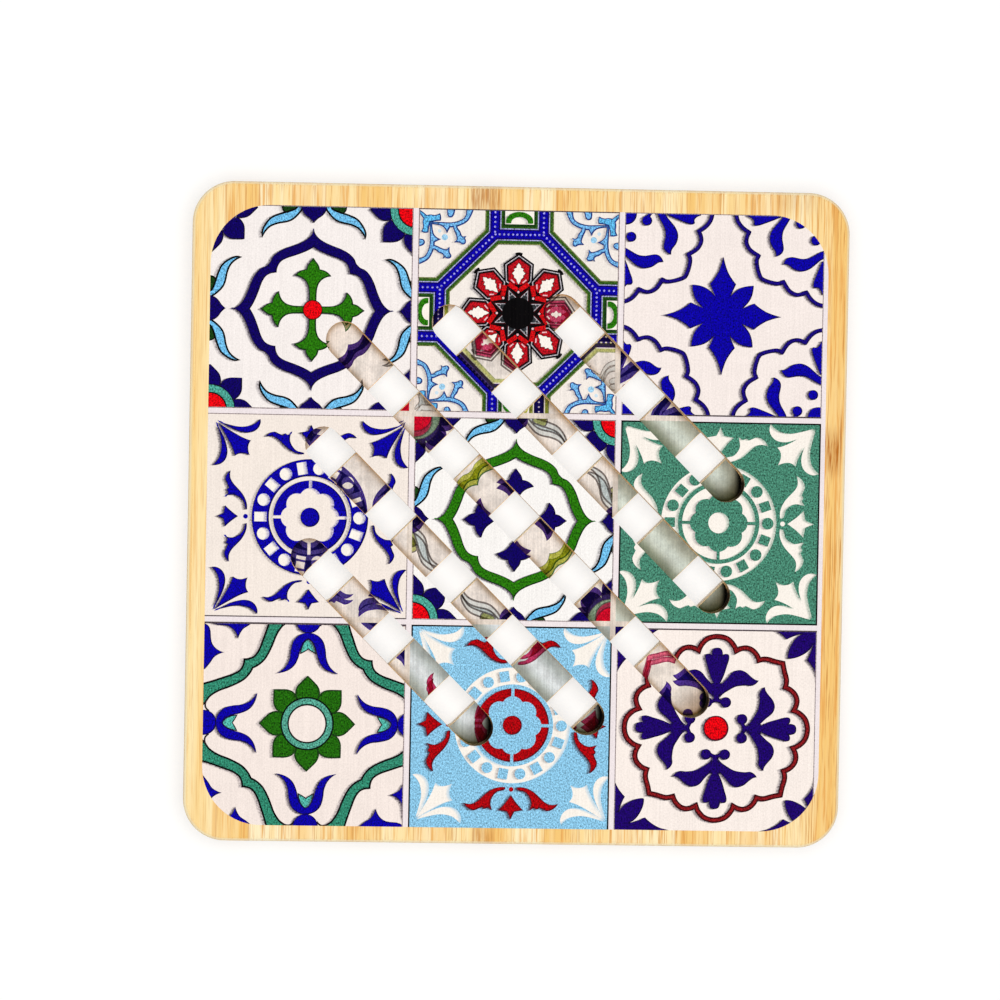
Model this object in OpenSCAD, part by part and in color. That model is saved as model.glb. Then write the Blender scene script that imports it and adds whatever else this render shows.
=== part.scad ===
// Square bamboo pot stand with a printed tile pattern.
// Twenty edge-glued bamboo strips make the board. Five slots are routed across its top and five
// the other way across its underside, so every crossing is an open square. The print is an ink film
// of nine tiles and the grout between them, on the top face and down on the slot floors.
// Frame: millimetres, +Z up, Y along the grain, origin in the middle of the underside.

/* [Board] */
// Width across the grain
board_w = 150; // [130:1:200]
// Length along the grain
board_l = 150; // [130:1:200]
// Thickness
board_t = 10; // [8:0.5:18]
// Radius of the four corners in plan
corner_r = 9.5; // [4:0.5:16]
// Radius worn on the outer top and bottom edges
edge_r = 1; // [0.3:0.1:2]
// Width of one bamboo strip
strip_w = 7.5; // [5:0.5:12]

/* [Slots] */
// Diameter of the slot cutter
slot_w = 8.4; // [5:0.1:12]
// Spacing between neighbouring slots
slot_pitch = 20; // [16:0.5:24]
// Angle between the slots and the grain
slot_angle = 45; // [35:1:55]
// How far each set is cut past half the thickness
slot_past_half = 0.5; // [0.3:0.1:1.5]
// Overall length of the middle slot
middle_slot_l = 122.6; // [100:0.1:140]
// Overall length of the slots beside the middle one
next_slot_l = 94.8; // [80:0.1:110]
// Overall length of the outermost slots
outer_slot_l = 62.8; // [56:0.1:74]
// Shift of the top set across its own slots
top_set_across = -0.5; // [-2:0.1:2]
// Shift of the top set along its own slots
top_set_along = 0.8; // [-2:0.1:2]
// Shift of the underside set across its own slots
under_set_across = 0; // [-2:0.1:2]

/* [Print] */
// Bare bamboo left round the print
rim_w = 4.5; // [3:0.1:10]
// Width of a grout line
grout_w = 1.2; // [0.6:0.1:3]
// Width of the grout line along the print's right edge
edge_grout_w = 1; // [0:0.1:2]
// Radius of the print's four corners
print_r = 13.4; // [2:0.1:16]
// Thickness of the ink film
ink_t = 0.1; // [0.05:0.01:0.3]
// Ink kept clear of the slot walls
ink_gap = 0.1; // [0.05:0.01:0.4]
// Shift of the print across the grain
print_across = -0.3; // [-2:0.05:2]
// Shift of the print along the grain
print_along = -0.8; // [-2:0.05:2]

/* [Hidden] */
$fn = 48;
row_names = ["top", "middle", "bottom"];
column_names = ["left", "centre", "right"];
per_side = len(row_names);
side_names = ["left", "right"];
// Strips are laid out from the middle, so the outermost on each side is trimmed to the board
strips_per_half = ceil(board_w / 2 / strip_w);
// Height of the top slots' floor, and of the underside slots' roof
floor_z = board_t / 2 - slot_past_half;
roof_z = board_t / 2 + slot_past_half;
slot_lengths = [middle_slot_l, next_slot_l, outer_slot_l];
slots_each_way = len(slot_lengths) - 1;
print_w = board_w - 2 * rim_w;
print_l = board_l - 2 * rim_w;
tile_w = (print_w - (per_side - 1) * grout_w - edge_grout_w) / per_side;
tile_l = (print_l - (per_side - 1) * grout_w) / per_side;
// How far a cutter runs past the face that it enters
run_out = 1;
bamboo_tones = ["#f4d596", "#efc983", "#f7dca6", "#e9bd72"];
// Neighbouring strips take tones this many places apart
tone_step = 3;
tile_tones = [
    ["#3a6fa8", "#2b2f8f", "#3b35a5"],
    ["#2c2f96", "#2f7d3a", "#3f8f78"],
    ["#2f8a7d", "#7fbfe0", "#5a2f6e"]
];

function strip_name(side, i) = str("bamboo_strip_", side_names[side], "_", i < 10 ? "0" : "", i);
function tile_name(r, c) = str("tile_print_", row_names[r], "_", column_names[c]);

// Rectangle with round corners, centred
module rounded_rectangle(w, l, r) {
    square([w - 2 * r, l], center = true);
    square([w, l - 2 * r], center = true);
    for (x = [-1, 1], y = [-1, 1])
        translate([x * (w / 2 - r), y * (l / 2 - r)]) circle(r);
}

// Slot with round ends along X, smaller all round by gap
module slot(l, gap) {
    w = slot_w - 2 * gap;
    run = l - slot_w;
    square([run, w], center = true);
    for (x = [-1, 1])
        translate([x * run / 2, 0]) circle(d = w);
}

// One set of five parallel slots along X, the middle one longest
module slot_set(gap) {
    for (i = [-slots_each_way:slots_each_way])
        translate([0, i * slot_pitch]) slot(slot_lengths[abs(i)], gap);
}

module top_slots(gap = 0) {
    rotate(-slot_angle) translate([top_set_along, top_set_across]) slot_set(gap);
}

module under_slots(gap = 0) {
    rotate(slot_angle) translate([0, under_set_across]) slot_set(gap);
}

// Section of the board's rim, from the corner centre line out to the worn edges
module rim_section() {
    square([corner_r - edge_r, board_t]);
    translate([0, edge_r]) square([corner_r, board_t - 2 * edge_r]);
    for (z = [edge_r, board_t - edge_r])
        translate([corner_r - edge_r, z]) circle(edge_r);
}

// A straight run of the rim along Y, its inner line on the Z axis
module rim_run(l) {
    rotate([90, 0, 0]) linear_extrude(l, center = true) rim_section();
}

// The glued blank before any slot is cut
module blank() {
    core_w = board_w - 2 * corner_r;
    core_l = board_l - 2 * corner_r;
    translate([-core_w / 2, -core_l / 2, 0]) cube([core_w, core_l, board_t]);
    for (side = [0, 180]) {
        rotate(side) translate([core_w / 2, 0, 0]) rim_run(core_l);
        rotate(side + 90) translate([core_l / 2, 0, 0]) rim_run(core_w);
        rotate(side) translate([core_w / 2, core_l / 2, 0])
            rotate_extrude(angle = 90) rim_section();
        rotate(side) translate([-core_w / 2, core_l / 2, 0])
            rotate(90) rotate_extrude(angle = 90) rim_section();
    }
}

// Strip i on one side of the middle: its share of the blank, less the slots that cross it
module bamboo_strip(side, i) {
    start = side == 0 ? -i * strip_w : (i - 1) * strip_w;
    color(bamboo_tones[(i * tone_step + side) % len(bamboo_tones)])
    difference() {
        intersection() {
            blank();
            translate([start, -board_l / 2, 0]) cube([strip_w, board_l, board_t]);
        }
        translate([0, 0, floor_z])
            linear_extrude(board_t - floor_z + run_out) top_slots();
        translate([0, 0, -run_out])
            linear_extrude(roof_z + run_out) under_slots();
    }
}

module print_outline() {
    translate([print_across, print_along]) rounded_rectangle(print_w, print_l, print_r);
}

// The square of one tile, rows counted from the top and columns from the left
module tile_cell(r, c) {
    middle = (per_side - 1) / 2;
    translate([print_across - edge_grout_w / 2 + (c - middle) * (tile_w + grout_w),
               print_along - (r - middle) * (tile_l + grout_w)])
        square([tile_w, tile_l], center = true);
}

// Ink of the given outline: on the top face between the slots, and on the slot floors
module ink_film() {
    translate([0, 0, board_t]) linear_extrude(ink_t)
        difference() {
            children();
            top_slots();
        }
    translate([0, 0, floor_z]) linear_extrude(ink_t)
        difference() {
            intersection() {
                children();
                top_slots(ink_gap);
            }
            under_slots(-ink_gap);
        }
}

module tile_print(r, c) {
    color(tile_tones[r][c])
    ink_film() intersection() {
        print_outline();
        tile_cell(r, c);
    }
}

module grout_print() {
    color("#ece2dd")
    ink_film() difference() {
        print_outline();
        for (r = [0:per_side - 1], c = [0:per_side - 1])
            tile_cell(r, c);
    }
}

for (side = [0, 1], i = [1:strips_per_half])
    bamboo_strip(side, i);
for (r = [0:per_side - 1], c = [0:per_side - 1])
    tile_print(r, c);
grout_print();
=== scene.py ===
# Bamboo pot stand with a printed tile pattern: the looks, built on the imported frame
import math
import bpy
import numpy as np
from mathutils import Matrix, Vector
from mathutils.geometry import delaunay_2d_cdt


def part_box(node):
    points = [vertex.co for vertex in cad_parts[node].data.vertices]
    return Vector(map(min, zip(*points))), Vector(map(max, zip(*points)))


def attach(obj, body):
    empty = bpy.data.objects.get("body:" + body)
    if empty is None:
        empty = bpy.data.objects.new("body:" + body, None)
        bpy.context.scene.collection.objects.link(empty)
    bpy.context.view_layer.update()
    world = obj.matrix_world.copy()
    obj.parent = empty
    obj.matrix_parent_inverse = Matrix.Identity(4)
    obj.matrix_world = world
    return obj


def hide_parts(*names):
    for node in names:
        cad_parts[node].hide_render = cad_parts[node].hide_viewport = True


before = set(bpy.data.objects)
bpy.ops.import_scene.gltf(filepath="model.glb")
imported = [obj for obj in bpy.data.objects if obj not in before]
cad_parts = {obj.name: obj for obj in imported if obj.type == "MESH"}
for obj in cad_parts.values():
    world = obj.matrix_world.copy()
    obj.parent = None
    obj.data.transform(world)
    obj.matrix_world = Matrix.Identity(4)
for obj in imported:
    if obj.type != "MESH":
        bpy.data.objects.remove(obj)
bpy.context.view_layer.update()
mm = 0.001  # the print is drawn in millimetres


def linear(colour):  # screen colour 0-255 to scene light
    v = np.asarray(colour, float) / 255
    return np.where(v <= 0.04045, v / 12.92, ((v + 0.055) / 1.055) ** 2.4)


def boxOf(node):  # low and high corner of a piece, in millimetres
    return [np.array(corner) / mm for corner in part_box(node)]


def planOf(node):
    return [corner[:2] for corner in boxOf(node)]


def rgba(colour):
    return (*[float(v) for v in linear(colour)], 1.0)


def addNode(tree, kind, sockets=None, **settings):
    node = tree.nodes.new(kind)
    for name, value in settings.items():
        setattr(node, name, value)
    for key, value in (sockets or {}).items():
        if isinstance(value, bpy.types.NodeSocket):
            tree.links.new(value, node.inputs[key])
        else:
            node.inputs[key].default_value = value
    return node


def maths(tree, operation, a, b=0.0, c=0.0, clamp=False):
    node = addNode(tree, "ShaderNodeMath", {0: a, 1: b, 2: c}, operation=operation, use_clamp=clamp)
    return node.outputs[0]


def mixed(tree, factor, a, b, blend="MIX"):
    node = addNode(tree, "ShaderNodeMix", {0: factor, 6: a, 7: b}, data_type="RGBA", blend_type=blend)
    return node.outputs[2]


def noise(tree, place, scale, detail=3.0, rough=0.55, offset=(0, 0, 0)):
    mapping = addNode(tree, "ShaderNodeMapping", {"Vector": place, "Scale": scale, "Location": offset})
    node = addNode(tree, "ShaderNodeTexNoise", {
        "Vector": mapping.outputs[0], "Scale": 1.0, "Detail": detail, "Roughness": rough})
    return node.outputs[0]


def ranged(tree, value, low, high, outLow=0.0, outHigh=1.0):
    node = addNode(tree, "ShaderNodeMapRange", {
        "Value": value, "From Min": low, "From Max": high, "To Min": outLow, "To Max": outHigh},
        interpolation_type="SMOOTHSTEP")
    return node.outputs[0]


def newMaterial(name):
    material = bpy.data.materials.new(name)
    material.use_nodes = True
    tree = material.node_tree
    return material, tree, tree.nodes["Principled BSDF"]


def setRelief(tree, shader, height, strength, distance):
    bump = addNode(tree, "ShaderNodeBump", {"Height": height, "Strength": strength, "Distance": distance})
    tree.links.new(bump.outputs[0], shader.inputs["Normal"])


# Camera, floor and light
cameraLook = {
    "place": (-0.0703, 0.0304, 1.0973),
    "aim": (-0.0040, 0.0036, 0.009),
    "rollDegrees": -1.06,
    "lens": 172.1,
    "sensor": 36.0,
}


def makeCamera(look):
    data = bpy.data.cameras.new("photoCamera")
    data.lens = look["lens"]
    data.sensor_width = look["sensor"]
    data.clip_start = 0.01
    camera = bpy.data.objects.new("photoCamera", data)
    bpy.context.scene.collection.objects.link(camera)
    place, aim = Vector(look["place"]), Vector(look["aim"])
    roll = math.radians(look["rollDegrees"])
    forward = (aim - place).normalized()
    right = forward.cross(Vector((math.sin(roll), math.cos(roll), 0))).normalized()
    up = right.cross(forward)
    turn = Matrix((right, up, -forward)).transposed().to_4x4()
    camera.matrix_world = Matrix.Translation(place) @ turn
    bpy.context.scene.camera = camera


stageLook = {
    "floorSize": 6.0,
    "floorTone": 0.80,  # what the floor sends back to the object
    "whiteShare": 0.6,  # steady white in the seen floor; the rest carries the shadow
    "shadeTone": 0.43,
    "sky": 0.38,
    "keyHeight": 0.9,  # straight above, for a soft shadow on all four sides
    "keySize": 0.75,
    "keyPower": 5.9,
}


def seenDirectly(tree):
    path = addNode(tree, "ShaderNodeLightPath")
    either = maths(tree, "MAXIMUM", path.outputs["Is Camera Ray"], path.outputs["Is Glossy Ray"])
    return maths(tree, "MAXIMUM", either, path.outputs["Is Transmission Ray"])


def makeFloor(look):
    half = look["floorSize"] / 2
    mesh = bpy.data.meshes.new("floor")
    corners = [(-half, -half, 0), (half, -half, 0), (half, half, 0), (-half, half, 0)]
    mesh.from_pydata(corners, [], [(0, 1, 2, 3)])
    floor = bpy.data.objects.new("floor", mesh)
    bpy.context.scene.collection.objects.link(floor)
    material, tree = newMaterial("paleFloor")[:2]
    tree.nodes.clear()
    tone, shade = look["floorTone"], look["shadeTone"]
    plain = addNode(tree, "ShaderNodeBsdfDiffuse", {"Color": (tone, tone, tone, 1)})
    shaded = addNode(tree, "ShaderNodeBsdfDiffuse", {"Color": (shade, shade, shade, 1)})
    white = addNode(tree, "ShaderNodeEmission", {"Strength": look["whiteShare"]})
    both = addNode(tree, "ShaderNodeAddShader", {0: shaded.outputs[0], 1: white.outputs[0]})
    pick = addNode(tree, "ShaderNodeMixShader", {
        0: seenDirectly(tree), 1: plain.outputs[0], 2: both.outputs[0]})
    addNode(tree, "ShaderNodeOutputMaterial", {"Surface": pick.outputs[0]})
    mesh.materials.append(material)


def makeSky(look):
    world = bpy.data.worlds.new("studioSky")
    bpy.context.scene.world = world
    world.use_nodes = True
    tree = world.node_tree
    tree.nodes.clear()
    soft, white = (addNode(tree, "ShaderNodeBackground", {"Color": (1, 1, 1, 1), "Strength": strength})
                   for strength in (look["sky"], 1.0))
    pick = addNode(tree, "ShaderNodeMixShader", {
        0: seenDirectly(tree), 1: soft.outputs[0], 2: white.outputs[0]})
    addNode(tree, "ShaderNodeOutputWorld", {"Surface": pick.outputs[0]})


def makeKeyLight(look):
    lamp = bpy.data.lights.new("keyLight", "AREA")
    lamp.shape = "DISK"
    lamp.size = look["keySize"]
    lamp.energy = look["keyPower"]
    key = bpy.data.objects.new("keyLight", lamp)
    bpy.context.scene.collection.objects.link(key)
    key.location = (0, 0, look["keyHeight"])


bpy.context.scene.view_settings.view_transform = "Standard"
makeCamera(cameraLook)
makeFloor(stageLook)
makeSky(stageLook)
makeKeyLight(stageLook)
print("camera, floor and light are set")


# Slots, as the frame has them
slotSizes = {
    "width": 8.4,
    "pitch": 20.0,
    "lengths": (122.6, 94.8, 62.8),  # middle, next, outermost
    "topAcross": -0.5,
    "topAlong": 0.8,
    "underAcross": 0.0,
    "clear": 0.1,  # ink kept off the slot walls
    "floor": 4.5,  # height of the top slots' floor
}
slotRuns = (np.array(slotSizes["lengths"]) - slotSizes["width"]) / 2  # half the straight part of each


def slotEnds():  # middles of the lower right round ends of the top slots
    ends = []
    for i in range(-2, 3):
        along = slotRuns[abs(i)] + slotSizes["topAlong"]
        across = slotSizes["topAcross"] + i * slotSizes["pitch"]
        ends.append(((along + across) / math.sqrt(2), (across - along) / math.sqrt(2)))
    return ends


# Bamboo
bambooLook = {
    "tones": {  # pale ground and honey bands of each sort of strip
        "bamboo_pale": ((255, 238, 194), (254, 224, 160)),
        "bamboo_light": ((254, 232, 178), (251, 216, 147)),
        "bamboo_honey": ((254, 230, 180), (250, 212, 146)),
        "bamboo_amber": ((252, 219, 154), (246, 199, 116)),
    },
    "fibre": (236, 174, 92),
    "line": (204, 134, 54),
    "slotWall": (228, 194, 152),  # walls of the top slots, browned by the cutter
    "openWall": (255, 248, 232),  # walls of the underside slots, seen through the openings; painted light, paler than the bamboo to lift their shade
    "wallFoot": (0.3, 0.1),  # below the slot floor, where the one wall tone becomes the other
    "endWall": ((136, 124, 88), (42, 30, 16)),  # painted shade on the lower right end of a top slot, its lower and its right part
    "endHeight": (9.9, 9.0),  # where the painted shade of an end starts below the top face, and where it is full
    "knotColour": (184, 108, 26),
    # painted highlight where the outer edges round over
    "rubbedEdge": (255, 244, 212),
    "bands": (420, 9, 260),  # how fine the grain is across, along and through a strip
    "fibres": (1500, 45, 1100),
    "hairs": (4300, 70, 3600),
    "bundles": (1500, 90, 1500),
    "speckles": (2100, 110, 2100),
    "roughness": (0.42, 0.6),
    "relief": (0.35, 0.00008),  # strength and height
    "shine": 0.12,
    "slotReach": 71.5,  # slot walls lie inside this distance from the middle
    "glueLine": (0.24, 0.04),  # from the side of a strip, where its glue line starts and where it is full
    "glueDepth": (0.15, 0.5),  # strength of the weakest glue line, and how much more others have
    "grain": {"left_10": 0.55, "right_10": 1.35},  # contrast of the fibres, otherwise 1
    "knots": [  # where a joint of the cane was: middle, half width and half length of the mark, strength
        (-8.6, 73.0, 3.6, 7.0, 0.9), (-6.6, -74.0, 2.6, 6.0, 0.7), (72.0, 15.5, 2.1, 8.5, 1.2),
        (62.5, 74.0, 5.0, 6.0, 0.35), (-33.0, -31.0, 4.0, 6.0, 1.0), (-47.0, 18.0, 4.0, 6.0, 1.0),
        (34.0, 44.0, 4.0, 6.0, 1.0)],
}


def away(tree, axis, middle):
    return maths(tree, "ABSOLUTE", maths(tree, "SUBTRACT", axis, middle))


def knotMarks(tree, body, place, fibre, shift, low, high, look):  # browned fibres
    near = [k for k in look["knots"] if low.x <= (k[0] + k[2]) * mm and (k[0] - k[2]) * mm <= high.x]
    if not near:
        return body
    x, y = addNode(tree, "ShaderNodeSeparateXYZ", {0: place}).outputs[:2]
    speckle = noise(tree, place, look["speckles"], 3.0, 0.7, shift)
    fleck = ranged(tree, speckle, 0.42, 0.6, 0.25, 0.85)
    for *sizes, strength in near:
        middleX, middleY, halfX, halfY = (v * mm for v in sizes)
        sideways = ranged(tree, away(tree, x, middleX), halfX, halfX * 0.85)
        frayed = maths(tree, "MULTIPLY_ADD", fibre, halfY * 0.9, away(tree, y, middleY))
        lengthways = ranged(tree, frayed, halfY * 1.3, halfY * 0.6)
        spread = maths(tree, "MULTIPLY", maths(tree, "MULTIPLY", sideways, lengthways), strength)
        mark = maths(tree, "MULTIPLY", spread, fleck, clamp=True)
        body = mixed(tree, mark, body, rgba(look["knotColour"]))
    return body


def slotWalls(tree, body, place, wallShare, low, high, look):
    x, y, z = addNode(tree, "ShaderNodeSeparateXYZ", {0: place}).outputs
    floor, radius = slotSizes["floor"] * mm, slotSizes["width"] / 2 * mm
    upper = ranged(tree, z, *(floor - v * mm for v in look["wallFoot"]))
    # painted light on the walls in the openings, a browned tone on the top slot walls
    body = mixed(tree, wallShare, body, mixed(tree, upper, rgba(look["openWall"]), rgba(look["slotWall"])))
    # painted shade on the lower right ends of the top slots, darkest on their right part
    lowEnd, rightEnd = (rgba(tone) for tone in look["endWall"])
    flat = addNode(tree, "ShaderNodeCombineXYZ", {0: x, 1: y}).outputs[0]
    for endX, endY in np.array(slotEnds()) * mm:
        if endX + radius < low.x or endX - radius > high.x:
            continue
        apart = addNode(tree, "ShaderNodeVectorMath", {0: flat, 1: (endX, endY, 0)}, operation="DISTANCE")
        ring = ranged(tree, apart.outputs["Value"], radius * 1.1, radius * 1.03)
        rightward = maths(tree, "SUBTRACT", x, endX)
        downward = maths(tree, "SUBTRACT", endY, y)
        onward = ranged(tree, maths(tree, "ADD", rightward, downward), radius * 0.2, radius)
        ended = maths(tree, "MULTIPLY", onward, ring)
        lowered = maths(tree, "MULTIPLY", ended, ranged(tree, z, *(v * mm for v in look["endHeight"])))
        endShade = mixed(tree, ranged(tree, rightward, radius * 0.3, radius * 0.8), lowEnd, rightEnd)
        body = mixed(tree, maths(tree, "MULTIPLY", lowered, upper), body, endShade)
    return body


def makeBamboo(strip, tone, look, seed):
    pale, honey = look["tones"][tone]
    low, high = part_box("bamboo_strip_" + strip)
    material, tree, shader = newMaterial("bamboo_" + strip)
    place = addNode(tree, "ShaderNodeTexCoord").outputs["Object"]
    x, y = addNode(tree, "ShaderNodeSeparateXYZ", {0: place}).outputs[:2]
    normal = addNode(tree, "ShaderNodeNewGeometry").outputs["Normal"]
    facing = addNode(tree, "ShaderNodeSeparateXYZ", {0: normal}).outputs
    upright = maths(tree, "ABSOLUTE", facing[2])
    shift = (seed * 3.7, seed * 1.9, seed * 5.3)
    grain = look["grain"].get(strip, 1.0)

    # Fibres along the strip, and their cut ends
    band = noise(tree, place, look["bands"], 2.0, 0.5, shift)
    fibre = noise(tree, place, look["fibres"], 3.0, 0.65, shift)
    hair = noise(tree, place, look["hairs"], 2.0, 0.6, shift)
    body = mixed(tree, ranged(tree, band, 0.36, 0.64), rgba(pale), rgba(honey))
    body = mixed(tree, ranged(tree, fibre, 0.5, 0.66, 0.0, 0.85 * grain), body, rgba(look["fibre"]))
    body = mixed(tree, ranged(tree, hair, 0.56, 0.68, 0.0, 0.65 * grain), body, rgba(look["line"]))
    stretched = addNode(tree, "ShaderNodeMapping", {
        "Vector": place, "Scale": look["bundles"], "Location": shift}).outputs[0]
    dots = addNode(tree, "ShaderNodeTexVoronoi", {"Vector": stretched, "Scale": 1.0})
    bundle = ranged(tree, dots.outputs["Distance"], 0.34, 0.16)
    endGrain = ranged(tree, maths(tree, "ABSOLUTE", facing[1]), 0.5, 0.8, 0.08, 0.55)
    body = mixed(tree, maths(tree, "MULTIPLY", bundle, endGrain), body, rgba(look["knotColour"]))
    body = knotMarks(tree, body, place, fibre, shift, low, high, look)

    # Glue lines, of which some show more than others
    centre, halfWide = (low.x + high.x) / 2, (high.x - low.x) / 2
    start, full = (halfWide - v * mm for v in look["glueLine"])
    least, more = look["glueDepth"]
    glue = ranged(tree, away(tree, x, centre), start, full, 0.0, least + more * (seed * 0.37 % 1))
    body = mixed(tree, glue, body, rgba(look["line"]))

    # Slot walls, and a painted highlight on the rounded outer edges
    reach = maths(tree, "MAXIMUM", maths(tree, "ABSOLUTE", x), maths(tree, "ABSOLUTE", y))
    within = maths(tree, "LESS_THAN", reach, look["slotReach"] * mm)
    patchyWalls = maths(tree, "MULTIPLY", within, ranged(tree, hair, 0.3, 0.7, 0.65, 1.0))
    wallShare = maths(tree, "MULTIPLY", ranged(tree, upright, 0.4, 0.1), patchyWalls)
    body = slotWalls(tree, body, place, wallShare, low, high, look)
    rounded = ranged(tree, upright, 0.99, 0.8, 0.0, 0.55)
    eased = maths(tree, "MULTIPLY", ranged(tree, upright, 0.15, 0.5), rounded)
    highlit = maths(tree, "MULTIPLY", eased, maths(tree, "SUBTRACT", 1.0, within))
    body = mixed(tree, highlit, body, rgba(look["rubbedEdge"]))
    tree.links.new(body, shader.inputs["Base Color"])
    tree.links.new(ranged(tree, fibre, 0.3, 0.7, *look["roughness"]), shader.inputs["Roughness"])
    relief = maths(tree, "MULTIPLY_ADD", hair, 0.5, maths(tree, "MULTIPLY", fibre, 0.5))
    setRelief(tree, shader, relief, *look["relief"])
    shader.inputs["Specular IOR Level"].default_value = look["shine"]
    return material


def finishStrips(look):
    strips = sorted(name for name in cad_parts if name.startswith("bamboo_strip_"))
    tones = list(look["tones"])
    for seed, name in enumerate(strips):
        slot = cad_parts[name].material_slots[0]
        tone = slot.material.name.split(".")[0]
        strip = name.replace("bamboo_strip_", "")
        slot.material = makeBamboo(strip, tone if tone in tones else tones[seed % len(tones)], look, seed)
    print("bamboo strips finished:", len(strips))


finishStrips(bambooLook)


# Drawing helpers: outlines are lists of points in millimetres, a third value marks a sharp point
def curve(points, closed=True, steps=4):
    count = len(points)
    p = np.array([q[:2] for q in points], float)
    sharp = [len(q) > 2 for q in points]
    if not closed:
        sharp[0] = sharp[-1] = True

    def heading(i):
        away = p[(i + 1) % count] - p[i - 1]
        return away / max(np.hypot(*away), 1e-9)

    out = []
    for i in range(count if closed else count - 1):
        j = (i + 1) % count
        chord = p[j] - p[i]
        size = np.hypot(*chord)
        if sharp[i] and sharp[j]:
            out.append(p[i])
            continue
        start = None if sharp[i] else heading(i) * size
        end = None if sharp[j] else heading(j) * size
        start = 2 * chord - end if start is None else start
        end = 2 * chord - start if end is None else end
        for k in range(steps):
            t = k / steps
            out.append((2 * t**3 - 3 * t**2 + 1) * p[i] + (t**3 - 2 * t**2 + t) * start
                       + (3 * t**2 - 2 * t**3) * p[j] + (t**3 - t**2) * end)
    if not closed:
        out.append(p[-1])
    return np.array(out)


def turned(points, degrees):
    c, s = math.cos(math.radians(degrees)), math.sin(math.radians(degrees))
    spun = [(q[0] * c - q[1] * s, q[0] * s + q[1] * c, *q[2:]) for q in points]
    return np.array(spun) if isinstance(points, np.ndarray) else spun


def flipped(points):  # left for right
    return [(-q[0], *q[1:]) for q in points]


def swapped(points):  # mirrored in the diagonal
    return [(q[1], q[0], *q[2:]) for q in points]


def moved(points, dx, dy):
    return [(q[0] + dx, q[1] + dy, *q[2:]) for q in points]


def diagonal(half, closed=True):  # a half outline and its mirror image in the diagonal
    return list(half) + list(reversed(swapped(half)))[1:-1 if closed else None]


def whole(half):  # a half outline and its mirror image, joined on x = 0
    return list(half) + [q for q in reversed(flipped(half)) if abs(q[0]) > 1e-9]


cornerSigns = np.array(((1, 1), (-1, 1), (-1, -1), (1, -1)))
leftForRight = np.array((-1, 1))


def fourWays(*shapes):
    return [turned(shape, 90 * k) for shape in shapes for k in range(4)]


def eightWays(points):
    return fourWays(points, flipped(points))


def fromOctant(octant):  # an eighth of a closed outline, from the top to the diagonal
    quarter = diagonal(octant)
    return [q for k in range(4) for q in turned(quarter, -90 * k)]


def disc(radius, x=0.0, y=0.0, points=40):
    angles = np.linspace(0, 2 * math.pi, points, endpoint=False)
    return np.c_[x + radius * np.cos(angles), y + radius * np.sin(angles)]


def grown(loop, by):  # a sampled outline moved outwards
    loop = np.asarray(loop, float)
    ahead, behind = np.roll(loop, -1, 0), np.roll(loop, 1, 0)
    area = (loop[:, 0] * ahead[:, 1] - ahead[:, 0] * loop[:, 1]).sum()

    def outward(along):
        normal = np.c_[along[:, 1], -along[:, 0]] * np.sign(area)
        return normal / np.maximum(np.hypot(*normal.T), 1e-9)[:, None]

    first, second = outward(loop - behind), outward(ahead - loop)
    middle = first + second
    return loop + middle * (2 * by / np.maximum((middle**2).sum(1), 0.5))[:, None]


def stroke(points, widths):  # an open line with a width that changes along it
    line = curve(points, closed=False)
    width = np.interp(np.linspace(0, 1, len(line)), np.linspace(0, 1, len(widths)), widths) / 2
    along = np.gradient(line, axis=0)
    normal = np.c_[-along[:, 1], along[:, 0]] / np.maximum(np.hypot(*along.T), 1e-9)[:, None]
    return np.r_[line + normal * width[:, None], (line - normal * width[:, None])[::-1]]


def inside(loop, points):  # which points lie inside a sampled outline
    found = np.zeros(len(points), bool)
    low, high = loop.min(0), loop.max(0)
    near = np.nonzero(((points >= low) & (points <= high)).all(1))[0]
    if not len(near):
        return found
    x, y = points[near, 0], points[near, 1]
    winding = np.zeros(len(near), int)
    for (x0, y0), (x1, y1) in zip(loop, np.roll(loop, -1, 0)):
        if y0 == y1:
            continue
        left = x < (x1 - x0) * (y - y0) / (y1 - y0) + x0
        winding += left & (y0 <= y) & (y < y1)
        winding -= left & (y1 <= y) & (y < y0)
    found[near] = winding != 0
    return found


def insideAny(loops, points):
    found = np.zeros(len(points), bool)
    for loop in loops:
        found |= inside(loop, points)
    return found


# Ink
inks = {
    "navy": (12, 0, 90),
    "ultramarine": (8, 0, 156),
    "violetBlue": (28, 2, 100),
    "cobalt": (22, 6, 118),
    "leafGreen": (38, 112, 8),
    "flowerGreen": (32, 98, 10),
    "darkGreen": (22, 58, 16),
    "bandGreen": (50, 88, 26),
    "olive": (116, 126, 70),
    "red": (226, 2, 14),
    "crimson": (168, 2, 10),
    "starRed": (200, 12, 18),
    "petalRed": (180, 16, 28),
    "ringRed": (132, 22, 26),
    "ringDark": (58, 8, 14),
    "skyBlue": (112, 188, 232),
    "paleBlue": (156, 205, 234),
    "faintBlue": (204, 224, 236),
    "scrollBlue": (112, 176, 226),
    "scrollLine": (32, 56, 124),
    "tuftBlue": (92, 178, 226),
    "wheelBlue": (138, 196, 227),
    "teal": (74, 158, 142),
    "deepTeal": (48, 132, 106),
    "heartTeal": (82, 178, 164),
    "ringTeal": (82, 158, 138),
    "seaGreen": (70, 131, 109),
    "lavender": (166, 164, 214),
    "blush": (236, 190, 196),
    "bandDot": (158, 154, 222),
    "black": (2, 1, 2),
    "starBlack": (42, 46, 50),
    "line": (30, 20, 28),
    "grey": (184, 178, 184),
    "borderGrey": (146, 130, 130),
    "heavyGrey": (84, 72, 76),
    "cream": (250, 242, 232),
    "wheelCream": (244, 232, 222),
    "ghost": (74, 64, 82),
}
edgeInks = {  # a darker rim where the print is heaviest
    "navy": (12, 2, 44),
    "ultramarine": (12, 2, 78),
    "violetBlue": (20, 4, 60),
    "cobalt": (18, 6, 72),
    "leafGreen": (14, 46, 12),
    "crimson": (92, 4, 20),
    "red": (120, 2, 30),
}
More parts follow.
